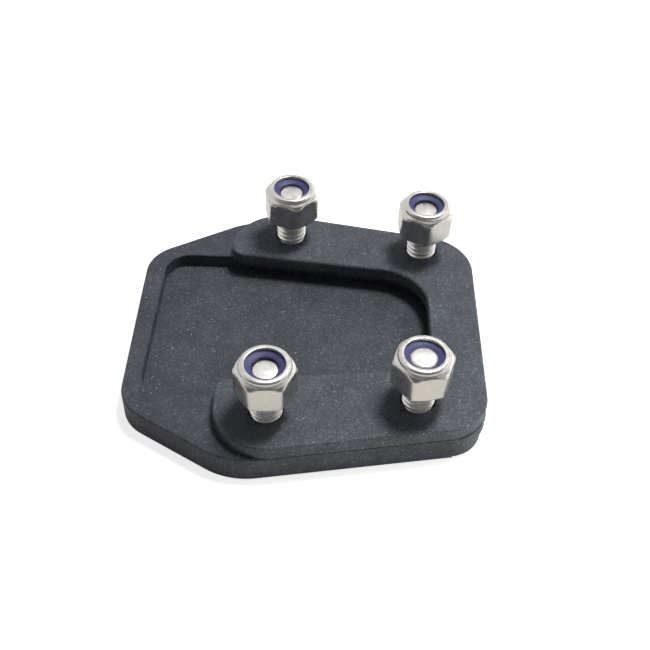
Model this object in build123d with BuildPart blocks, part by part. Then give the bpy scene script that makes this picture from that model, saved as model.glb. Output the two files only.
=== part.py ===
from build123d import *
from math import atan2, cos, degrees, radians, sqrt, tan
import os

# Kickstand foot enlarger, in millimetres.
# A foot plate with a pocket takes the foot of a side stand. A horseshoe plate clamps the foot's rim
# into the pocket, drawn down by four studs and four lock nuts with nylon rings.
# The origin is at the middle of the underside: +X points to the closed end of the horseshoe, +Z up.

# Pocket for the stand's foot, which sits a little off the plate's centre line
foot_offset = 1.4
pocket_width = 37.4
pocket_depth = 2.8
pocket_from_open_end = 3.45
pocket_end_skew = 1.2
pocket_radius = 5.0
pocket_bend_radius = 25.0
pocket_edge_break = 0.15

# Stud places: two rows across the plate, beside the pocket's walls, with the front studs set back
left_row_from_open_end = 27.75
right_row_from_closed_end = 11.35
left_row_from_pocket = 5.9
right_row_from_pocket = 5.2
front_stagger = 2.3

# Foot plate: six corners, mirrored about the X axis, outside the pocket and the studs
plate_length = 65.8
plate_thickness = 5.55
open_end_inset = 0.2
shoulder_from_open_end = 20.5
shoulder_margin = 7.05
closed_end_margin = 2.7
open_end_radius = 8.0
shoulder_radius = 13.5
closed_back_radius = 9.8
closed_front_radius = 7.2
edge_break = 0.25

# Step left by the second milling set-up, under the front corner of the closed end
corner_step_depth = 0.35
corner_step_height = 3.1

# Horseshoe clamp plate, with a slot that tapers towards its closed end
clamp_thickness = 2.6
arm_end_from_open_end = 17.15
arm_end_flat = 0.5
arm_outer_radius = 9.6
arm_inner_radius = 2.7
closed_end_land = 9.4
clamp_front_radius = 8.2
slot_taper = 6.0
slot_radius = 10.0
lip = 1.9
clamp_hole_clearance = 0.2

# M6 studs, screwed into the foot plate from below
stud_diameter = 5.9
stud_recess = 0.2
stud_foot_chamfer = 0.5
stud_tip_chamfer = 0.7
stud_reach_in_ring = 1.0
socket_flats = 3.0
socket_depth = 3.5
thread_clearance = 0.05

# M6 lock nuts, run part of the way down, with the turn of a corner from +X for each
nut_flats = 10.0
nut_height = 6.7
nut_gap = 5.4
nut_seat_inset = 0.25
corner_blunting = 0.25
nut_chamfer_angle = 30.0
dome_angle = 50.0
collar_wall = 0.55
collar_height = 0.6
rim_roll = 0.4
rim_width = 0.65
rim_thickness = 0.4
bore_chamfer = 0.4
turn_back_left = 44.3
turn_back_right = 35.8
turn_front_left = 3.5
turn_front_right = 11.0

# Nylon rings, held under the rolled rims, with a top that dips towards the bore
ring_wall = 1.0
ring_depth = 2.6
ring_bore = 4.7
ring_dish = 0.6
ring_clearance = 0.05


def mirrored(x, half_width):
    """Back and front point of a pair that lies even about the plate's centre line."""
    return (x, half_width), (x, -half_width)


def about_foot(x, half_width):
    """Back and front point of a pair that lies even about the foot's centre line."""
    return (x, foot_offset + half_width), (x, foot_offset - half_width)


# Places along the plate
open_x = -plate_length / 2
closed_x = plate_length / 2
shoulder_x = open_x + shoulder_from_open_end
arm_end_x = open_x + arm_end_from_open_end
slot_end_x = closed_x - closed_end_land
pocket_open_x = open_x + pocket_from_open_end
pocket_end_x = slot_end_x + lip
left_x = open_x + left_row_from_open_end
right_x = closed_x - right_row_from_closed_end

# Half widths from the foot's centre line: the pocket's walls taper with the slot once under the clamp
taper_slope = tan(radians(slot_taper))
pocket_half = pocket_width / 2
pocket_end_half = pocket_half - (pocket_end_x - arm_end_x) * taper_slope
mouth_half = pocket_half - lip
slot_end_half = mouth_half - (slot_end_x - arm_end_x) * taper_slope
left_row_half = pocket_half - (left_x - arm_end_x) * taper_slope + left_row_from_pocket
right_row_half = pocket_half - (right_x - arm_end_x) * taper_slope + right_row_from_pocket

# Half widths of the foot plate, and the slope of the long edges from the shoulders to the closed end
open_half = foot_offset + pocket_half - open_end_inset
shoulder_half = foot_offset + left_row_half + shoulder_margin
closed_half = foot_offset + right_row_half + closed_end_margin
edge_slope = (shoulder_half - closed_half) / (closed_x - shoulder_x)
edge_angle = degrees(atan2(edge_slope, 1))
arm_outer_half = shoulder_half + (shoulder_x - arm_end_x) * edge_slope

# Heights
clamp_top = plate_thickness + clamp_thickness
nut_seat = clamp_top + nut_gap
thread_height = nut_height - ring_depth
tip_in_nut = thread_height + stud_reach_in_ring
stud_length = nut_seat + tip_in_nut - stud_recess

# Stud places, with the turn of the nut on each
stud_places = [
    (left_x + front_stagger / 2, foot_offset + left_row_half, turn_back_left),
    (right_x + front_stagger / 2, foot_offset + right_row_half, turn_back_right),
    (left_x - front_stagger / 2, foot_offset - left_row_half, turn_front_left),
    (right_x - front_stagger / 2, foot_offset - right_row_half, turn_front_right),
]
stud_spots = [(x, y) for x, y, turn in stud_places]
nut_locations = [Location((x, y, nut_seat), (0, 0, turn)) for x, y, turn in stud_places]

# Outline of the foot plate
open_back, open_front = mirrored(open_x, open_half)
shoulder_back, shoulder_front = mirrored(shoulder_x, shoulder_half)
closed_back, closed_front = mirrored(closed_x, closed_half)

with BuildSketch() as plate_outline:
    with BuildLine():
        FilletPolyline(
            open_back, shoulder_back, closed_back, closed_front, shoulder_front, open_front,
            radius=[
                open_end_radius, shoulder_radius, closed_back_radius,
                closed_front_radius, shoulder_radius, open_end_radius,
            ],
            close=True,
        )
    make_face()

# Outline of the pocket: parallel walls in the open, then parallel to the clamp's slot under the lip
skew_shift = pocket_half * tan(radians(pocket_end_skew))
bend_back, bend_front = about_foot(arm_end_x, pocket_half)
end_back, end_front = about_foot(pocket_end_x, pocket_end_half)

with BuildSketch() as pocket_outline:
    with BuildLine():
        FilletPolyline(
            (pocket_open_x + skew_shift, foot_offset + pocket_half), bend_back, end_back,
            end_front, bend_front, (pocket_open_x - skew_shift, foot_offset - pocket_half),
            radius=[
                pocket_radius, pocket_bend_radius, slot_radius + lip,
                slot_radius + lip, pocket_bend_radius, pocket_radius,
            ],
            close=True,
        )
    make_face()

# Outline of the clamp plate: the foot plate's closed end, with a tapering slot in its open side
arm_back, arm_front = mirrored(arm_end_x, arm_outer_half)
mouth_back, mouth_front = about_foot(arm_end_x, mouth_half)
slot_back, slot_front = about_foot(slot_end_x, slot_end_half)

# The round of an arm's outer corner leaves a short flat at the arm's end, on the narrower arm too
narrow_arm = arm_outer_half - foot_offset - mouth_half
inner_run = arm_inner_radius / tan(radians(90 + slot_taper) / 2)
outer_run = narrow_arm - inner_run - arm_end_flat
arm_round = min(arm_outer_radius, outer_run * tan(radians(90 - edge_angle) / 2))

with BuildSketch() as clamp_outline:
    with BuildLine():
        FilletPolyline(
            arm_back, closed_back, closed_front, arm_front,
            mouth_front, slot_front, slot_back, mouth_back,
            radius=[
                arm_round, closed_back_radius, clamp_front_radius, arm_round,
                arm_inner_radius, slot_radius, slot_radius, arm_inner_radius,
            ],
            close=True,
        )
    make_face()

# Foot plate, with the tapped holes and the corner step, which runs between the ends of the corner's round
stud_radius = stud_diameter / 2
thread_radius = stud_radius + thread_clearance
step_reach = closed_front_radius / tan(radians(90 + edge_angle) / 2)
step_along = step_reach * cos(radians(edge_angle))

with BuildPart() as base_plate:
    add(plate_outline.sketch)
    extrude(amount=plate_thickness)
    chamfer(base_plate.faces().filter_by(Axis.Z).edges(), length=edge_break)
    with BuildSketch(Plane.XY.offset(plate_thickness)):
        add(pocket_outline.sketch)
    extrude(amount=-pocket_depth, mode=Mode.SUBTRACT)
    top_face = base_plate.faces().filter_by(Axis.Z).sort_by(Axis.Z)[-1]
    chamfer(top_face.inner_wires()[0].edges(), length=pocket_edge_break)
    with BuildSketch():
        add(plate_outline.sketch)
        offset(plate_outline.sketch, amount=-corner_step_depth, mode=Mode.SUBTRACT)
        with Locations((closed_x - step_along, step_reach - closed_half)):
            Rectangle(plate_length, 2 * shoulder_half, align=(Align.MIN, Align.MAX), mode=Mode.INTERSECT)
    extrude(amount=corner_step_height, mode=Mode.SUBTRACT)
    with Locations(*stud_spots):
        Hole(radius=thread_radius)

# Clamp plate
with BuildPart() as clamp_plate:
    with BuildSketch(Plane.XY.offset(plate_thickness)):
        add(clamp_outline.sketch)
    extrude(amount=clamp_thickness)
    chamfer(clamp_plate.faces().sort_by(Axis.Z)[-1].edges(), length=edge_break)
    with Locations(*stud_spots):
        Hole(radius=stud_radius + clamp_hole_clearance)

# One stud: chamfered at both ends, with a hexagon socket in its lower end
with BuildPart() as stud:
    with BuildSketch(Plane.XY.offset(stud_recess)):
        Circle(stud_radius)
    extrude(amount=stud_length)
    chamfer(stud.edges().sort_by(Axis.Z)[0], length=stud_foot_chamfer)
    chamfer(stud.edges().sort_by(Axis.Z)[-1], length=stud_tip_chamfer)
    with BuildSketch(Plane.XY.offset(stud_recess)):
        RegularPolygon(radius=socket_flats / 2, side_count=6, major_radius=False)
    extrude(amount=socket_depth, mode=Mode.SUBTRACT)

with BuildPart() as clamp_studs:
    with Locations(*stud_spots):
        add(stud.part)

# One lock nut, standing on its seat: a turned section with a domed top and a rolled rim, cut by the hexagon
corner_radius = nut_flats / sqrt(3) - corner_blunting
seat_radius = nut_flats / 2 - nut_seat_inset
recess_radius = thread_radius + ring_wall
collar_radius = recess_radius + collar_wall
collar_foot = nut_height - collar_height
seat_rise = (corner_radius - seat_radius) * tan(radians(nut_chamfer_angle))
hexagon_height = collar_foot - (corner_radius - collar_radius) * tan(radians(dome_angle))
rim_outer = collar_radius - rim_roll
rim_inner = rim_outer - rim_width
lip_height = nut_height - rim_thickness

with BuildPart() as lock_nut:
    with BuildSketch():
        RegularPolygon(radius=nut_flats / 2, side_count=6, major_radius=False)
    extrude(amount=nut_height)
    with BuildSketch(Plane.XZ):
        with BuildLine():
            Polyline(
                (thread_radius, bore_chamfer), (thread_radius + bore_chamfer, 0), (seat_radius, 0),
                (corner_radius, seat_rise), (corner_radius, hexagon_height), (collar_radius, collar_foot),
                (rim_outer, nut_height), (rim_inner, nut_height), (rim_inner, lip_height),
                (recess_radius, lip_height), (recess_radius, thread_height), (thread_radius, thread_height),
                close=True,
            )
        make_face()
    revolve(axis=Axis.Z, mode=Mode.INTERSECT)

with BuildPart() as lock_nuts:
    with Locations(*nut_locations):
        add(lock_nut.part)

# One nylon ring, standing in its nut, with its lower bore pressed out by the tip of the stud
ring_outer = recess_radius - ring_clearance
ring_top = lip_height - ring_clearance
tip_edge = tip_in_nut - stud_tip_chamfer

with BuildPart() as nylon_ring:
    with BuildSketch(Plane.XY.offset(thread_height)):
        Circle(ring_outer)
        Circle(ring_bore / 2, mode=Mode.SUBTRACT)
    extrude(amount=ring_top - thread_height)
    with BuildSketch(Plane.XZ):
        with BuildLine():
            Polyline(
                (0, 0), (thread_radius, 0), (thread_radius, tip_edge),
                (0, tip_edge + thread_radius), close=True,
            )
        make_face()
        with BuildLine():
            Polyline(
                (0, ring_top - ring_dish), (ring_bore / 2, ring_top - ring_dish),
                (rim_inner, ring_top), (0, ring_top), close=True,
            )
        make_face()
    revolve(axis=Axis.Z, mode=Mode.SUBTRACT)

with BuildPart() as nylon_inserts:
    with Locations(*nut_locations):
        add(nylon_ring.part)

# One file for each node
os.makedirs("parts", exist_ok=True)
base_plate.part.label = "base_plate"
export_step(base_plate.part, "parts/base_plate.step")
clamp_plate.part.label = "clamp_plate"
export_step(clamp_plate.part, "parts/clamp_plate.step")
clamp_studs.part.label = "clamp_studs"
export_step(clamp_studs.part, "parts/clamp_studs.step")
lock_nuts.part.label = "lock_nuts"
export_step(lock_nuts.part, "parts/lock_nuts.step")
nylon_inserts.part.label = "nylon_inserts"
export_step(nylon_inserts.part, "parts/nylon_inserts.step")
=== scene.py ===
"""Visual model of a kickstand foot enlarger, built round its CAD frame.

The two plates keep their CAD shape and get a bead-blasted, black anodised finish. The studs get their
rolled thread, the lock nuts their pressed collar and hexagon, and the nylon rings their rounded mouth.
"""

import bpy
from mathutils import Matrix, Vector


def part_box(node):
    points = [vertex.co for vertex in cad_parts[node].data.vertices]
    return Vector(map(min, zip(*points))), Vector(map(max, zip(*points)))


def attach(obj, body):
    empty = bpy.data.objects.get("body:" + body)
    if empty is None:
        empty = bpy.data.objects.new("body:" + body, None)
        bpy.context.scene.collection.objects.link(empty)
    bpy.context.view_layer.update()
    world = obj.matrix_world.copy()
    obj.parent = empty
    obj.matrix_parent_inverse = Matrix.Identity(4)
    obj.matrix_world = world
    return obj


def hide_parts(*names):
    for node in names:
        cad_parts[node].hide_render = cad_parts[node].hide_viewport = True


bl_info = {
    "name": "Kickstand foot enlarger",
    "version": (1, 0, 0),
    "blender": (4, 5, 0),
    "location": "View3D > Sidebar > Foot enlarger",
    "description": "Finishes the plates of a kickstand foot enlarger and builds its studs, nuts and stage",
    "category": "Object",
}

from math import atan2, ceil, cos, pi, radians, sin

import bmesh
import bpy
from bpy.props import FloatProperty, FloatVectorProperty, IntProperty, PointerProperty
from mathutils import Matrix, Vector

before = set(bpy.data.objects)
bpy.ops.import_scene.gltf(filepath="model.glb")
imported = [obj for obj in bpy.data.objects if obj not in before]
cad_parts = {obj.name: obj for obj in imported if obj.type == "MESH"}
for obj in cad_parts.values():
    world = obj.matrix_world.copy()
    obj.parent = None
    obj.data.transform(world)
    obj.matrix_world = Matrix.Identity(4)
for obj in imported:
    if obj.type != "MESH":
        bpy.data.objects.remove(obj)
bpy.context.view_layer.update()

MM = 0.001
BODY = "root"
STUD_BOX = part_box("clamp_studs")
NUT_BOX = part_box("lock_nuts")
RING_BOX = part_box("nylon_inserts")

# Points this close are one point where a shape is spun, cut or rounded.
SAME_POINT = 1e-4 * MM

# Turns of thread join, and the edges of a circle or rim are found, within this distance.
SAME_PLACE = 1e-3 * MM

# Edges between smooth faces are hard above these angles, on the studs and on the turned nuts and rings.
HARD_ON_STUD = radians(50)
HARD_ON_TURNED = radians(40)

# Faces across the rounding of an edge: a slight one, the mouth of the nylon and the rolled rim.
SLIGHT_ROUND = 3
MOUTH_ROUND = 4
RIM_ROUND = 8

# Noise seldom leaves the first range of its values, and the dye's hue drifts within the second.
NOISE_RANGE = (0.3, 0.7)
DRIFT_RANGE = (0.35, 0.65)
FULL_RANGE = (0.0, 1.0)

# A painted glint fades in between these shares of its width from its middle.
SPECK_EDGE = (0.55, 0.2)

# Clouds on formed steel: their width, and the range of scatter and of tone that they span.
STEEL_CLOUD = 1.6 * MM
STEEL_SCATTER = (0.8, 1.2)
STEEL_TONE = (0.9, 1.05)

# Fibre of the paper floor: its width, the range of tone that it spans, and its scatter.
PAPER_FIBRE = 20 * MM
PAPER_TONE = (0.99, 1.0)
PAPER_ROUGHNESS = 0.9

# Refraction of the sealed oxide and of nylon.
OXIDE_IOR = 1.5
NYLON_IOR = 1.53

# The painted shade in the nylon's bore ends at this share of the rounding of its mouth.
PAINTED_SHADE_END = 0.1

# Parts of the mirrored room, as ranges of a direction's X to the right, Y to the back and Z upwards.
LEFT_TO_RIGHT = (-0.6, 0.6)
CARD_TOP = (0.25, 0.45)
SKY_FOOT = (0.4, 0.75)
FRONT_TO_BACK = (-0.45, -0.05)
WHITE = 1.0


def linear(hex_colour):
    """Linear red, green, blue and alpha of an sRGB hex colour."""
    parts = [int(hex_colour[i:i + 2], 16) / 255 for i in (1, 3, 5)]
    return tuple(p / 12.92 if p <= 0.04045 else ((p + 0.055) / 1.055) ** 2.4 for p in parts) + (1.0,)


def number(name, text, value, **kind):
    """A plain number property."""
    return FloatProperty(name=name, description=text, default=value, **kind)


def length(name, text, millimetres):
    """A length property, with its default given in millimetres."""
    return number(name, text, millimetres * MM, unit="LENGTH", precision=5)


def angle(name, text, degrees):
    """An angle property, with its default given in degrees."""
    return number(name, text, radians(degrees), unit="ROTATION")


def lengths(name, text, metres):
    """A property of several lengths, such as a place or a width and height."""
    return FloatVectorProperty(
        name=name, description=text, default=metres, size=len(metres), unit="LENGTH", precision=5
    )


def colour(name, text, hex_colour):
    """A colour property, with its default given as an sRGB hex value."""
    return FloatVectorProperty(
        name=name, description=text, default=linear(hex_colour), size=4, subtype="COLOR", min=0.0, max=1.0
    )


# Sizes and colours that a user may change


class PlateFinish(bpy.types.PropertyGroup):
    """Colours and grain of the foot plate and the clamp plate."""

    dye: colour("Dye", "Colour of the dyed oxide between the bead dents", "#494c54")
    # Painted highlight: the colour painted into the few dents that stand in for glints of the lamp.
    painted_glint: colour("Painted glint", "Colour of a dent that catches the light", "#afb7c1")
    tint: colour("Tint", "Colour that the dye drifts towards", "#474b52")
    # Painted light: the clamp's copy of the finish is painted this much lighter than the foot plate's, in
    # place of the brighter light that falls on the clamp.
    clamp_painted_light: number("Clamp painted light", "Tone of the clamp's dye as a share of the foot plate's", 1.30)
    dent: length("Dent", "Width of one bead dent, coarser than the real one so that it shows", 0.24)
    darkest: number("Darkest dent", "Share of the dye's tone in the dullest dents", 0.80)
    brightest: number("Brightest dent", "Share of the dye's tone in the few brightest dents", 1.75)
    dullness: number("Dullness", "How far dull dents outnumber bright ones", 4.0)
    # Width and share of the dents that get a painted glint.
    speck: length("Speck", "Width of a dent that may sparkle", 0.30)
    painted_glint_share: number("Painted glint share", "Share of those dents that do sparkle", 0.025, subtype="FACTOR")
    mottle: length("Mottle", "Width of the faint clouds in the dye", 5.0)
    clouding: number("Clouding", "Change of tone between the clouds", 0.2, subtype="FACTOR")
    drift: length("Drift", "Width over which the dye drifts to its tint", 11.0)
    pit: length("Pit", "Depth of a dent", 0.02)
    pitting: number("Pitting", "Strength of the dents' relief", 0.15, subtype="FACTOR")
    roughness: number("Roughness", "Scatter of the blasted face", 0.52, subtype="FACTOR")
    gloss: number("Gloss", "Strength of the sheen that the dents leave", 0.2, subtype="FACTOR")


class StudSizes(bpy.types.PropertyGroup):
    """Thread and ends of the four studs."""

    pitch: length("Pitch", "Rise of the thread in one turn", 1.0)
    depth: length("Thread depth", "Height of the crest above the root", 0.45)
    crown: length("Crown", "Rise of the domed tip inside its chamfer", 0.06)
    crown_edge: length("Crown edge", "Width of the slope round the domed tip", 0.35)
    tip_chamfer: length("Tip chamfer", "Radius taken off at the tip", 0.7)
    foot_chamfer: length("Foot chamfer", "Radius taken off at the foot", 0.5)
    core: length("Core", "Least radius that the chamfers leave on the spare turns, which are cut off", 0.5)
    socket_flats: length("Socket flats", "Width across the flats of the hexagon socket in the foot", 3.0)
    socket_depth: length("Socket depth", "Depth of the hexagon socket", 3.5)
    lifts: lengths(
        "Lifts",
        "Rise of each stud's tip over its CAD tip: back left, back right, front left, front right",
        (0.3 * MM, 0.15 * MM, 0.15 * MM, 0.75 * MM),
    )
    turn: number("Turn", "Turn of each stud from the one before it", 1.9, unit="ROTATION")
    steps: IntProperty(name="Steps", description="Steps of the spin in one turn of the thread", default=48)
    section_steps: IntProperty(name="Section steps", description="Steps along one pitch", default=10)
    steel: colour("Steel", "Colour of the rolled steel", "#d8d6d3")
    roughness: number("Roughness", "Scatter of the rolled steel", 0.30, subtype="FACTOR")


class NutSizes(bpy.types.PropertyGroup):
    """Hexagon, collar and rolled rim of the four lock nuts."""

    flats: length("Flats", "Width across the flats", 10.0)
    blank_radius: length("Blank radius", "Radius of the turned blank, which blunts the six corners", 5.52)
    softness: length("Softness", "Width of the rounding where the flats meet the turned faces", 0.30)
    seat_radius: length("Seat radius", "Radius of the flat seat under the lower chamfer", 4.75)
    seat_chamfer: length("Seat chamfer", "Height of the chamfer above the seat", 0.447)
    dome_foot: length("Dome foot", "Height at which the dome leaves the six corners", 4.95)
    knee_radius: length("Knee radius", "Radius halfway up the dome", 5.08)
    knee: length("Knee", "Height halfway up the dome", 5.56)
    neck: length("Neck", "Height at which the dome meets the collar", 5.95)
    neck_round: length("Neck round", "Rounding of the hollow between the dome and the collar", 0.14)
    collar_radius: length("Collar radius", "Radius of the collar", 4.54)
    rim_round: length("Rim round", "Rounding of the rolled rim", 0.60)
    rim_mouth: length("Rim mouth", "Radius of the opening that the rolled rim leaves", 3.5)
    rim_mouth_round: length("Rim mouth round", "Rounding of the edge of that opening", 0.12)
    lip: length("Lip", "Thickness of the rolled rim over the nylon", 0.62)
    recess_radius: length("Recess radius", "Radius of the recess that holds the nylon", 4.0)
    recess_floor: length("Recess floor", "Height of the recess floor above the seat", 4.1)
    bore_radius: length("Bore radius", "Radius of the bore", 3.0)
    bore_chamfer: length("Bore chamfer", "Chamfer at the mouth of the bore", 0.4)
    turns: FloatVectorProperty(
        name="Turns",
        description="Turn of each nut's first corner: back left, back right, front left, front right",
        default=[radians(a) for a in (44.3, 35.8, 3.5, 11.0)],
        size=4,
        unit="ROTATION",
    )
    spacing: length("Spacing", "Spacing of the rows of faces on the outside", 0.12)
    steps: IntProperty(name="Steps", description="Steps of the spin round the nut", default=192)
    steel: colour("Steel", "Colour of the satin stainless steel", "#c9c6c3")
    roughness: number("Roughness", "Scatter of the cold-formed steel", 0.30, subtype="FACTOR")


class RingSizes(bpy.types.PropertyGroup):
    """Bore and mouth of the four nylon rings."""

    outer_radius: length("Outer radius", "Radius of the ring in its recess", 3.95)
    bore_radius: length("Bore radius", "Radius of the ring's bore", 2.35)
    dish_radius: length("Dish radius", "Radius at which the top starts to dip", 3.5)
    sink: length("Sink", "Gap that the shrunk nylon leaves under the top of its recess", 0.22)
    dish: length("Dish", "Depth of the dip towards the bore", 0.42)
    mouth: length("Mouth", "Rounding of the mouth that leads into the bore", 0.12)
    steps: IntProperty(name="Steps", description="Steps of the spin round the ring", default=96)
    nylon: colour("Nylon", "Colour of the moulded nylon", "#464777")
    shade: colour("Shade", "Deeper colour in the nylon's clouds", "#363764")
    # Painted shade: the bore's wall is coloured this dark in place of the shade that falls in it.
    deep: colour("Deep", "Colour of the nylon in the shade of the bore", "#1b1b40")
    cloud: length("Cloud", "Width of the clouds in the nylon's colour", 1.2)
    roughness: number("Roughness", "Scatter of the moulded face", 0.5, subtype="FACTOR")
    gloss: number("Gloss", "Strength of the waxy sheen", 0.35, subtype="FACTOR")


class StageSizes(bpy.types.PropertyGroup):
    """Camera, lamps, floor and mirrored room."""

    target: lengths("Target", "Point that the camera looks at", (3.60 * MM, 6.22 * MM, 0.55 * MM))
    distance: length("Distance", "Distance from the camera to its target", 195.588)
    elevation: angle("Elevation", "Angle of the camera above the floor", 46.047)
    azimuth: angle("Azimuth", "Turn of the camera round the target", -0.46)
    roll: angle("Roll", "Turn of the camera about its own axis", 2.375)
    lens: number("Lens", "Focal length in millimetres", 54.137, unit="CAMERA")
    sensor: number("Sensor", "Width of the sensor in millimetres", 36.0, unit="CAMERA")
    near: length("Near", "Distance at which the camera starts to see", 5.0)
    key_spot: lengths("Key place", "Place of the key lamp overhead", (0.12, 0.11, 0.47))
    key_size: lengths("Key size", "Width and height of the key lamp", (0.13, 0.13))
    key_power: number("Key", "Power of the key lamp", 1.85, unit="POWER")
    right_spot: lengths("Right place", "Place of the lamp high on the right", (0.36, 0.12, 0.30))
    right_size: lengths("Right size", "Width and height of that lamp", (0.20, 0.20))
    right_power: number("Right", "Power of that lamp", 0.35, unit="POWER")
    strip_spot: lengths("Strip place", "Place of the strip lamp low on the right", (0.24, -0.06, 0.012))
    strip_size: lengths("Strip size", "Width and height of the strip lamp", (0.12, 0.02))
    strip_power: number("Strip", "Power of the strip lamp", 0.45, unit="POWER")
    ambient: number("Ambient", "Strength of the room's scattered light", 0.11)
    front_room: number("Front room", "Brightness of the room behind the camera, as metal mirrors it", 0.18)
    left_room: number("Left room", "Brightness of the room low on the left, as metal mirrors it", 1.05)
    right_room: number("Right room", "Brightness of the room on the right, as metal mirrors it", 0.35)
    right_card: number("Right card", "Brightness of the white card that stands low on the right", 2.4)
    floor_reach: length("Floor reach", "Half of the floor's width", 3000.0)
    floor_colour: colour("Floor", "Colour of the matt floor", "#f3f0e8")
    floor_mirrored: number("Floor mirrored", "White that the floor adds where metal mirrors it", 0.22)
    floor_lift: number("Floor lift", "White that the floor adds where it is seen directly", 0.75)
    floor_fade: lengths("Floor fade", "Distances over which the floor turns white by itself", (0.12, 0.4))


class FootEnlarger(bpy.types.PropertyGroup):
    """All sizes and colours of the foot enlarger."""

    plates: PointerProperty(name="Plates", description="Finish of the two plates", type=PlateFinish)
    studs: PointerProperty(name="Studs", description="Sizes of the studs", type=StudSizes)
    nuts: PointerProperty(name="Nuts", description="Sizes of the lock nuts", type=NutSizes)
    rings: PointerProperty(name="Rings", description="Sizes of the nylon rings", type=RingSizes)
    stage: PointerProperty(name="Stage", description="Camera, lamps and floor", type=StageSizes)


# Materials


def add_node(tree, kind, sockets=(), **settings):
    """Adds a node with its settings, and gives its sockets a value or another node's output."""
    made = tree.nodes.new("ShaderNode" + kind)
    for name, value in settings.items():
        setattr(made, name, value)
    for name, value in dict(sockets).items():
        if isinstance(value, bpy.types.NodeSocket):
            tree.links.new(value, made.inputs[name])
        else:
            made.inputs[name].default_value = value
    return made


def stretch(tree, value, source, target):
    """A value, with one range of it stretched to another and held at the ends."""
    sockets = {"Value": value, "From Min": source[0], "From Max": source[1]}
    sockets.update({"To Min": target[0], "To Max": target[1]})
    return add_node(tree, "MapRange", sockets).outputs["Result"]


def combine(tree, operation, first, second):
    """Two values joined by one arithmetic operation."""
    return add_node(tree, "Math", {0: first, 1: second}, operation=operation).outputs["Value"]


def mixed(tree, share, first, second):
    """A colour between two colours."""
    return add_node(tree, "Mix", {0: share, 6: first, 7: second}, data_type="RGBA").outputs[2]


def scaled(tree, tone, factor):
    """A colour made lighter or darker by a factor."""
    return add_node(tree, "VectorMath", {0: tone, "Scale": factor}, operation="SCALE").outputs["Vector"]


def start_material(name):
    """A new material with an empty node tree, and the tree's object coordinates."""
    material = bpy.data.materials.new(name)
    material.use_nodes = True
    tree = material.node_tree
    tree.nodes.clear()
    return material, tree, add_node(tree, "TexCoord").outputs["Object"]


def end_material(tree, sockets):
    """Ends a material's tree with its surface."""
    surface = add_node(tree, "BsdfPrincipled", sockets)
    add_node(tree, "OutputMaterial", {"Surface": surface.outputs["BSDF"]})


def blasted_aluminium(name, finish, lightness):
    """Black anodised aluminium, bead-blasted: a dark slate face, softly scattering, with glints painted into
    a few dents.
    """
    material, tree, place = start_material(name)
    # Real bead dents are near 0.1 mm, too fine for the render, so the cells are drawn about twice as wide.
    dents = add_node(tree, "TexVoronoi", {"Vector": place, "Scale": 1 / finish.dent})
    chance = add_node(tree, "SeparateColor", {"Color": dents.outputs["Color"]})
    # Most dents are dull, and a few turn much more light to the eye.
    few = combine(tree, "POWER", chance.outputs["Red"], finish.dullness)
    tone = stretch(tree, few, FULL_RANGE, (lightness * finish.darkest, lightness * finish.brightest))
    # A few dents get a painted glint, a painted highlight that is brightest in their middle, where a real
    # dent would face the lamp.
    specks = add_node(tree, "TexVoronoi", {"Vector": place, "Scale": 1 / finish.speck})
    luck = add_node(tree, "SeparateColor", {"Color": specks.outputs["Color"]})
    rare = stretch(tree, luck.outputs["Green"], (1 - finish.painted_glint_share, 1.0), FULL_RANGE)
    middle = stretch(tree, specks.outputs["Distance"], SPECK_EDGE, FULL_RANGE)
    painted_glint = combine(tree, "MULTIPLY", rare, middle)
    # The dye lies in faint clouds, and drifts a little in hue over a wider distance.
    clouds = add_node(tree, "TexNoise", {"Vector": place, "Scale": 1 / finish.mottle, "Detail": 4.0})
    cloudy = stretch(tree, clouds.outputs["Fac"], NOISE_RANGE, (1 - finish.clouding, 1 + finish.clouding))
    drift = add_node(tree, "TexNoise", {"Vector": place, "Scale": 1 / finish.drift, "Detail": 3.0})
    drifted = stretch(tree, drift.outputs["Fac"], DRIFT_RANGE, FULL_RANGE)
    dye = mixed(tree, drifted, tuple(finish.dye), tuple(finish.tint))
    dyed = scaled(tree, dye, combine(tree, "MULTIPLY", tone, cloudy))
    pits = add_node(
        tree, "Bump", {"Height": chance.outputs["Blue"], "Strength": finish.pitting, "Distance": finish.pit}
    )
    end_material(
        tree,
        {
            "Base Color": mixed(tree, painted_glint, dyed, tuple(finish.painted_glint)),
            "Roughness": finish.roughness,
            "IOR": OXIDE_IOR,
            "Specular IOR Level": finish.gloss,
            "Normal": pits.outputs["Normal"],
        },
    )
    return material


def formed_stainless(name, steel, roughness):
    """Stainless steel, cold-formed: a satin grey mirror with faint clouds from the forming tool."""
    material, tree, place = start_material(name)
    clouds = add_node(tree, "TexNoise", {"Vector": place, "Scale": 1 / STEEL_CLOUD, "Detail": 3.0})
    scatters = [share * roughness for share in STEEL_SCATTER]
    scatter = stretch(tree, clouds.outputs["Fac"], NOISE_RANGE, scatters)
    toned = stretch(tree, clouds.outputs["Fac"], NOISE_RANGE, STEEL_TONE)
    end_material(
        tree,
        {"Base Color": scaled(tree, tuple(steel)[:3], toned), "Metallic": 1.0, "Roughness": scatter},
    )
    return material


def moulded_nylon(rings):
    """Nylon, moulded: blue-violet, waxy, with a soft sheen, faint clouds in its colour, and painted shade on
    its bore.
    """
    material, tree, place = start_material("Nylon, moulded")
    clouds = add_node(tree, "TexNoise", {"Vector": place, "Scale": 1 / rings.cloud, "Detail": 2.0})
    body = mixed(tree, clouds.outputs["Fac"], tuple(rings.shade), tuple(rings.nylon))
    # The marked bore is painted dark, as painted shade.
    bore = add_node(tree, "Attribute", attribute_name="bore")
    end_material(
        tree,
        {
            "Base Color": mixed(tree, bore.outputs["Fac"], body, tuple(rings.deep)),
            "Roughness": rings.roughness,
            "IOR": NYLON_IOR,
            "Specular IOR Level": rings.gloss,
        },
    )
    return material


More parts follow.
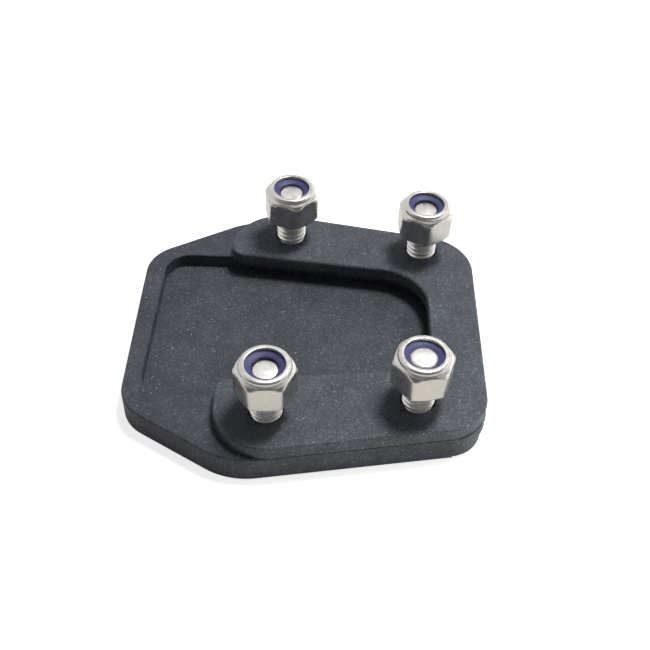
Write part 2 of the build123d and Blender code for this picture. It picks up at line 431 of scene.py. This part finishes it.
def seen_directly(tree, path):
    """1 for rays from the camera and through clear things, and 0 for the rest."""
    return combine(tree, "MAXIMUM", path.outputs["Is Camera Ray"], path.outputs["Is Transmission Ray"])


def matt_floor(stage):
    """Paper, matt white: a pale sweep that keeps the soft shadow of what stands on it."""
    material, tree, place = start_material("Paper, matt white")
    fibre = add_node(tree, "TexNoise", {"Vector": place, "Scale": 1 / PAPER_FIBRE, "Detail": 2.0})
    tone = stretch(tree, fibre.outputs["Fac"], FULL_RANGE, PAPER_TONE)
    path = add_node(tree, "LightPath")
    mirrored = combine(tree, "MULTIPLY", path.outputs["Is Glossy Ray"], stage.floor_mirrored)
    # Beyond the reach of the lamps the floor is white by itself, so that it meets the white room.
    far = add_node(tree, "VectorMath", {0: place}, operation="LENGTH").outputs["Value"]
    white = stretch(tree, far, tuple(stage.floor_fade), (stage.floor_lift, WHITE))
    end_material(
        tree,
        {
            "Base Color": scaled(tree, tuple(stage.floor_colour)[:3], tone),
            "Roughness": PAPER_ROUGHNESS,
            "Specular IOR Level": 0.0,
            "Emission Color": (1.0, 1.0, 1.0, 1.0),
            "Emission Strength": stretch(tree, seen_directly(tree, path), FULL_RANGE, (mirrored, white)),
        },
    )
    return material


# Shapes


def quarter_axes(node):
    """Upright axes of a node's four solids: back left, back right, front left and front right."""
    low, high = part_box(node)
    middle = (low + high) / 2
    points = [v.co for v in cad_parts[node].data.vertices]
    axes = []
    for back in (True, False):
        for right in (False, True):
            quarter = [p for p in points if (p.y > middle.y) == back and (p.x > middle.x) == right]
            if not quarter:
                raise RuntimeError(f"{node} has no solid in one of its quarters")
            across = [p.x for p in quarter]
            along = [p.y for p in quarter]
            axes.append(Vector(((min(across) + max(across)) / 2, (min(along) + max(along)) / 2, 0.0)))
    return axes


def finished(bm, name):
    """The bmesh as a mesh, and the bmesh freed."""
    mesh = bpy.data.meshes.new(name)
    bm.to_mesh(mesh)
    bm.free()
    return mesh


def add_copy(bm, single, place):
    """Adds a copy of a mesh at a place."""
    first = len(bm.verts)
    bm.from_mesh(single)
    bm.verts.ensure_lookup_table()
    bmesh.ops.transform(bm, matrix=place, verts=bm.verts[first:])


def gather(name, meshes, places, material, node):
    """Adds one piece, made of meshes with one at each place, that stands for a CAD node."""
    bm = bmesh.new()
    for single, place in zip(meshes, places):
        add_copy(bm, single, place)
    for single in set(meshes):
        bpy.data.meshes.remove(single)
    mesh = finished(bm, name)
    mesh.materials.append(material)
    piece = bpy.data.objects.new(name, mesh)
    bpy.context.scene.collection.objects.link(piece)
    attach(piece, BODY)
    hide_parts(node)


def turned_outline(bm, outline):
    """A closed outline of radius and height pairs in the XZ plane, as vertices and edges."""
    points = [bm.verts.new((radius, 0.0, height)) for radius, height in outline]
    lines = [bm.edges.new(pair) for pair in zip(points, points[1:] + points[:1])]
    return points + lines


def spin_full(bm, geometry, steps):
    """Turns an outline once round the Z axis and closes the seam."""
    bmesh.ops.spin(
        bm, geom=geometry, cent=(0, 0, 0), axis=(0, 0, 1), angle=2 * pi, steps=steps, use_merge=True
    )
    bmesh.ops.remove_doubles(bm, verts=bm.verts, dist=SAME_POINT)
    bmesh.ops.recalc_face_normals(bm, faces=bm.faces)


def ring_edges(bm, radius, height):
    """Edges of the circle at a radius and height of a turned shape."""

    def on_circle(vertex):
        return abs(vertex.co.z - height) < SAME_PLACE and abs(vertex.co.xy.length - radius) < SAME_PLACE

    return [e for e in bm.edges if all(on_circle(v) for v in e.verts)]


def round_ring(bm, radius, height, size, segments):
    """Rounds the circular edge at a radius and height."""
    edges = ring_edges(bm, radius, height)
    if not edges:
        raise RuntimeError(f"no circular edge at radius {radius} and height {height}")
    bmesh.ops.bevel(
        bm,
        geom=edges,
        offset=size,
        offset_type="OFFSET",
        affect="EDGES",
        segments=segments,
        profile=0.5,
        material=-1,
        clamp_overlap=True,
    )


def shade(bm, hard_angle):
    """Smooth faces, with hard edges where they meet at more than an angle."""
    for face in bm.faces:
        face.smooth = True
    for edge in bm.edges:
        edge.smooth = len(edge.link_faces) != 2 or edge.calc_face_angle() < hard_angle


def thread_turn(sizes, start, root):
    """One turn of the rolled thread, spun from a section of one pitch with round crests and roots."""
    count = sizes.section_steps
    bm = bmesh.new()
    points = []
    for i in range(count + 1):
        radius = root + sizes.depth * (0.5 - 0.5 * cos(2 * pi * i / count))
        points.append(bm.verts.new((radius, 0.0, start + sizes.pitch * i / count)))
    lines = [bm.edges.new(pair) for pair in zip(points, points[1:])]
    bmesh.ops.spin(
        bm,
        geom=points + lines,
        cent=(0, 0, 0),
        axis=(0, 0, 1),
        dvec=(0, 0, sizes.pitch / sizes.steps),
        angle=2 * pi,
        steps=sizes.steps,
    )
    return finished(bm, "turn")


def chamfer_ends(bm, sizes, foot, top, radius):
    """Draws the thread in to a cone at each end of the stud, and cuts off what is beyond the ends."""
    for vertex in bm.verts:
        at_tip = radius - sizes.tip_chamfer + (top - vertex.co.z)
        at_foot = radius - sizes.foot_chamfer + (vertex.co.z - foot)
        limit = max(min(at_tip, at_foot), sizes.core)
        reach = vertex.co.xy.length
        if reach > limit:
            vertex.co.xy *= limit / reach
    for height, cut in ((top, {"clear_outer": True}), (foot, {"clear_inner": True})):
        bmesh.ops.bisect_plane(
            bm,
            geom=bm.verts[:] + bm.edges[:] + bm.faces[:],
            dist=SAME_POINT,
            plane_co=(0, 0, height),
            plane_no=(0, 0, 1),
            **cut,
        )


def open_rim(bm, height):
    """Open edges of a shape at a height."""
    return [e for e in bm.edges if e.is_boundary and abs(e.verts[0].co.z - height) < SAME_PLACE]


def threaded_stud(sizes, foot, tip, radius):
    """One stud: a rolled thread, chamfered ends, a domed tip and a hexagon socket in the foot."""
    # The turns start well below the foot and end above the tip, and the spare ones are cut off.
    spare = 2
    turn = thread_turn(sizes, foot - spare * sizes.pitch, radius - sizes.depth)
    bm = bmesh.new()
    for i in range(ceil((tip - foot) / sizes.pitch) + spare + 1):
        add_copy(bm, turn, Matrix.Translation((0, 0, i * sizes.pitch)))
    bpy.data.meshes.remove(turn)
    bmesh.ops.remove_doubles(bm, verts=bm.verts, dist=SAME_PLACE)
    top = tip - sizes.crown
    chamfer_ends(bm, sizes, foot, top, radius)
    tip_rim, foot_rim = open_rim(bm, top), open_rim(bm, foot)
    dome = bmesh.ops.edgeloop_fill(bm, edges=tip_rim)["faces"]
    bmesh.ops.inset_region(bm, faces=dome, thickness=sizes.crown_edge, depth=0.0)
    for face in dome:
        bmesh.ops.translate(bm, verts=face.verts[:], vec=(0, 0, sizes.crown))
    socket_radius = sizes.socket_flats / 2 / cos(pi / 6)
    socket = bmesh.ops.create_circle(
        bm, segments=6, radius=socket_radius, matrix=Matrix.Translation((0, 0, foot))
    )["verts"]
    mouth = [e for e in bm.edges if e.verts[0] in socket and e.verts[1] in socket]
    bmesh.ops.bridge_loops(bm, edges=foot_rim + mouth)
    deep = bmesh.ops.extrude_edge_only(bm, edges=mouth)["geom"]
    deep_points = [g for g in deep if isinstance(g, bmesh.types.BMVert)]
    deep_edges = [g for g in deep if isinstance(g, bmesh.types.BMEdge)]
    bmesh.ops.translate(bm, verts=deep_points, vec=(0, 0, sizes.socket_depth))
    bmesh.ops.edgeloop_fill(bm, edges=deep_edges)
    bmesh.ops.recalc_face_normals(bm, faces=bm.faces)
    shade(bm, HARD_ON_STUD)
    return finished(bm, "stud")


def spaced(points, spacing):
    """Points along a line of points, no further apart than a spacing."""
    made = []
    for here, there in zip(points, points[1:]):
        here, there = Vector(here), Vector(there)
        parts = ceil((there - here).length / spacing)
        made += [here.lerp(there, i / parts) for i in range(parts)]
    return made + [Vector(points[-1])]


def press_hexagon(bm, flats, softness):
    """Presses six flats into a turned shape, with a soft edge where they run out into it."""
    for vertex in bm.verts:
        reach = vertex.co.xy.length
        turn = (atan2(vertex.co.y, vertex.co.x) % (pi / 3)) - pi / 6
        limit = flats / 2 / cos(turn)
        blend = min(max(0.5 + 0.5 * (limit - reach) / softness, 0.0), 1.0)
        pressed = limit + (reach - limit) * blend - softness * blend * (1 - blend)
        vertex.co.xy *= pressed / reach


def lock_nut(sizes, seat, top):
    """One lock nut: a turned blank with a domed shoulder and a rolled collar, pressed to a hexagon."""
    bm = bmesh.new()
    outside = [
        (sizes.seat_radius, seat),
        (sizes.blank_radius, seat + sizes.seat_chamfer),
        (sizes.blank_radius, seat + sizes.dome_foot),
        (sizes.knee_radius, seat + sizes.knee),
        (sizes.collar_radius, seat + sizes.neck),
    ]
    inside = [
        (sizes.collar_radius, top),
        (sizes.rim_mouth, top),
        (sizes.rim_mouth, top - sizes.lip),
        (sizes.recess_radius, top - sizes.lip),
        (sizes.recess_radius, seat + sizes.recess_floor),
        (sizes.bore_radius, seat + sizes.recess_floor),
        (sizes.bore_radius, seat + sizes.bore_chamfer),
        (sizes.bore_radius + sizes.bore_chamfer, seat),
    ]
    spin_full(bm, turned_outline(bm, spaced(outside, sizes.spacing) + inside), sizes.steps)
    round_ring(bm, sizes.collar_radius, seat + sizes.neck, sizes.neck_round, SLIGHT_ROUND)
    round_ring(bm, sizes.collar_radius, top, sizes.rim_round, RIM_ROUND)
    round_ring(bm, sizes.rim_mouth, top, sizes.rim_mouth_round, SLIGHT_ROUND)
    # The neck's rounding meets the next row of points, which are merged with it.
    bmesh.ops.remove_doubles(bm, verts=bm.verts, dist=SAME_POINT)
    press_hexagon(bm, sizes.flats, sizes.softness)
    bmesh.ops.recalc_face_normals(bm, faces=bm.faces)
    shade(bm, HARD_ON_TURNED)
    return finished(bm, "nut")


def nylon_ring(sizes, floor, top):
    """One nylon ring, with a top that dips to a rounded mouth, and its bore marked for the painted shade in
    the material.
    """
    bm = bmesh.new()
    outline = [
        (sizes.bore_radius, floor),
        (sizes.outer_radius, floor),
        (sizes.outer_radius, top),
        (sizes.dish_radius, top),
        (sizes.bore_radius, top - sizes.dish),
    ]
    spin_full(bm, turned_outline(bm, outline), sizes.steps)
    round_ring(bm, sizes.bore_radius, top - sizes.dish, sizes.mouth, MOUTH_ROUND)
    bore = bm.verts.layers.float.new("bore")
    painted_shade_limit = sizes.bore_radius + PAINTED_SHADE_END * sizes.mouth
    for vertex in bm.verts:
        vertex[bore] = 1.0 if vertex.co.xy.length < painted_shade_limit else 0.0
    shade(bm, HARD_ON_TURNED)
    return finished(bm, "ring")


# Stage


def studio_world(stage):
    """A white room for the eye, which metal mirrors as darker in front and brighter above and behind."""
    world = bpy.data.worlds.new("studio")
    world.use_nodes = True
    tree = world.node_tree
    tree.nodes.clear()
    path = add_node(tree, "LightPath")
    way = add_node(tree, "TexCoord").outputs["Generated"]
    axis = add_node(tree, "SeparateXYZ", {"Vector": way}).outputs
    low_right = stretch(tree, axis["Z"], CARD_TOP, (stage.right_card, stage.right_room))
    level = stretch(tree, axis["X"], LEFT_TO_RIGHT, (stage.left_room, low_right))
    raised = stretch(tree, axis["Z"], SKY_FOOT, (level, WHITE))
    mirrored = stretch(tree, axis["Y"], FRONT_TO_BACK, (stage.front_room, raised))
    unseen = stretch(tree, path.outputs["Is Glossy Ray"], FULL_RANGE, (stage.ambient, mirrored))
    strength = stretch(tree, seen_directly(tree, path), FULL_RANGE, (unseen, WHITE))
    room = add_node(tree, "Background", {"Color": (1, 1, 1, 1), "Strength": strength})
    add_node(tree, "OutputWorld", {"Surface": room.outputs["Background"]})
    return world


def area_lamp(name, spot, size, power, mirrored, target):
    """A round or oval lamp that faces a target, and shows in metal only if it is mirrored."""
    data = bpy.data.lights.new(name, "AREA")
    data.shape = "ELLIPSE"
    data.size, data.size_y = size
    data.energy = power
    lamp = bpy.data.objects.new(name, data)
    lamp.location = spot
    lamp.rotation_euler = (Vector(spot) - target).to_track_quat("Z", "Y").to_euler()
    lamp.visible_glossy = mirrored
    return lamp


def photo_camera(stage, target):
    """The camera, at the photograph's distance and angles from its target."""
    data = bpy.data.cameras.new("camera")
    data.sensor_width = stage.sensor
    data.lens = stage.lens
    data.clip_start = stage.near
    camera = bpy.data.objects.new("camera", data)
    back = Vector(
        (
            sin(stage.azimuth) * cos(stage.elevation),
            -cos(stage.azimuth) * cos(stage.elevation),
            sin(stage.elevation),
        )
    )
    turn = back.to_track_quat("Z", "Y").to_matrix().to_4x4() @ Matrix.Rotation(stage.roll, 4, "Z")
    camera.matrix_world = Matrix.Translation(target + back * stage.distance) @ turn
    return camera


# Operators


class FOOT_OT_plates(bpy.types.Operator):
    """Give the foot plate and the clamp plate their bead-blasted, anodised finish, the clamp's copy painted
    lighter as painted light
    """

    bl_idname = "foot.plates"
    bl_label = "Finish plates"

    def execute(self, context):
        finish = context.scene.foot_enlarger.plates
        # The two plates get a lit and a shaded copy of one finish: the clamp's is painted lighter, as
        # painted light.
        plate_tones = (
            ("base_plate", "first dye batch", 1.0),
            ("clamp_plate", "second dye batch", finish.clamp_painted_light),
        )
        for node, tone_label, lightness in plate_tones:
            name = f"Black anodised aluminium, bead-blasted, {tone_label}"
            material = blasted_aluminium(name, finish, lightness)
            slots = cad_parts[node].material_slots
            if not slots:
                raise RuntimeError(f"{node} has no place for a material")
            for slot in slots:
                slot.material = material
        return {"FINISHED"}


class FOOT_OT_studs(bpy.types.Operator):
    """Build the four threaded studs"""

    bl_idname = "foot.studs"
    bl_label = "Build studs"

    def execute(self, context):
        sizes = context.scene.foot_enlarger.studs
        axes = quarter_axes("clamp_studs")
        radius = STUD_BOX[1].x - max(axis.x for axis in axes)
        foot, tip = STUD_BOX[0].z, STUD_BOX[1].z
        made = {lift: threaded_stud(sizes, foot, tip + lift, radius) for lift in set(sizes.lifts)}
        studs = [made[lift] for lift in sizes.lifts]
        places = [
            Matrix.Translation(axis) @ Matrix.Rotation(i * sizes.turn, 4, "Z") for i, axis in enumerate(axes)
        ]
        material = formed_stainless("Stainless steel, rolled thread", sizes.steel, sizes.roughness)
        gather("threaded_studs", studs, places, material, "clamp_studs")
        return {"FINISHED"}


class FOOT_OT_nuts(bpy.types.Operator):
    """Build the four lock nuts"""

    bl_idname = "foot.nuts"
    bl_label = "Build lock nuts"

    def execute(self, context):
        sizes = context.scene.foot_enlarger.nuts
        single = lock_nut(sizes, NUT_BOX[0].z, NUT_BOX[1].z)
        places = [
            Matrix.Translation(axis) @ Matrix.Rotation(turn, 4, "Z")
            for axis, turn in zip(quarter_axes("clamp_studs"), sizes.turns)
        ]
        material = formed_stainless("Stainless steel, cold-formed", sizes.steel, sizes.roughness)
        gather("collared_lock_nuts", [single] * len(places), places, material, "lock_nuts")
        return {"FINISHED"}


class FOOT_OT_rings(bpy.types.Operator):
    """Build the four nylon rings"""

    bl_idname = "foot.rings"
    bl_label = "Build nylon rings"

    def execute(self, context):
        sizes = context.scene.foot_enlarger.rings
        single = nylon_ring(sizes, RING_BOX[0].z, RING_BOX[1].z - sizes.sink)
        places = [Matrix.Translation(axis) for axis in quarter_axes("clamp_studs")]
        material = moulded_nylon(sizes)
        gather("nylon_rings", [single] * len(places), places, material, "nylon_inserts")
        return {"FINISHED"}


class FOOT_OT_stage(bpy.types.Operator):
    """Set up the floor, the lamps, the world and the camera"""

    bl_idname = "foot.stage"
    bl_label = "Set up stage"

    def execute(self, context):
        scene = context.scene
        stage = scene.foot_enlarger.stage
        scene.view_settings.view_transform = "Standard"

        bm = bmesh.new()
        bmesh.ops.create_grid(bm, x_segments=1, y_segments=1, size=stage.floor_reach)
        floor = bpy.data.objects.new("floor", finished(bm, "floor"))
        floor.data.materials.append(matt_floor(stage))
        scene.collection.objects.link(floor)

        scene.world = studio_world(stage)
        target = Vector(stage.target)
        lamps = (
            ("key", stage.key_spot, stage.key_size, stage.key_power, True),
            ("right", stage.right_spot, stage.right_size, stage.right_power, False),
            ("strip", stage.strip_spot, stage.strip_size, stage.strip_power, False),
        )
        for name, spot, size, power, mirrored in lamps:
            scene.collection.objects.link(area_lamp(name, spot, size, power, mirrored, target))
        scene.camera = photo_camera(stage, target)
        scene.collection.objects.link(scene.camera)
        return {"FINISHED"}


class FOOT_PT_panel(bpy.types.Panel):
    """Lists the steps that build the foot enlarger"""

    bl_label = "Kickstand foot enlarger"
    bl_idname = "FOOT_PT_panel"
    bl_space_type = "VIEW_3D"
    bl_region_type = "UI"
    bl_category = "Foot enlarger"

    def draw(self, context):
        for step in STEPS:
            self.layout.operator(step.bl_idname)


STEPS = (FOOT_OT_plates, FOOT_OT_studs, FOOT_OT_nuts, FOOT_OT_rings, FOOT_OT_stage)
GROUPS = (PlateFinish, StudSizes, NutSizes, RingSizes, StageSizes, FootEnlarger)
CLASSES = GROUPS + STEPS + (FOOT_PT_panel,)


def register():
    """Makes the settings, the steps and the panel known to Blender."""
    for cls in CLASSES:
        bpy.utils.register_class(cls)
    bpy.types.Scene.foot_enlarger = PointerProperty(
        name="Foot enlarger", description="Sizes and colours of the foot enlarger", type=FootEnlarger
    )


def unregister():
    """Takes out what register put in."""
    del bpy.types.Scene.foot_enlarger
    for cls in reversed(CLASSES):
        bpy.utils.unregister_class(cls)


def main():
    register()
    bpy.ops.foot.plates()
    bpy.ops.foot.studs()
    bpy.ops.foot.nuts()
    bpy.ops.foot.rings()
    bpy.ops.foot.stage()


if __name__ == "__main__":
    main()
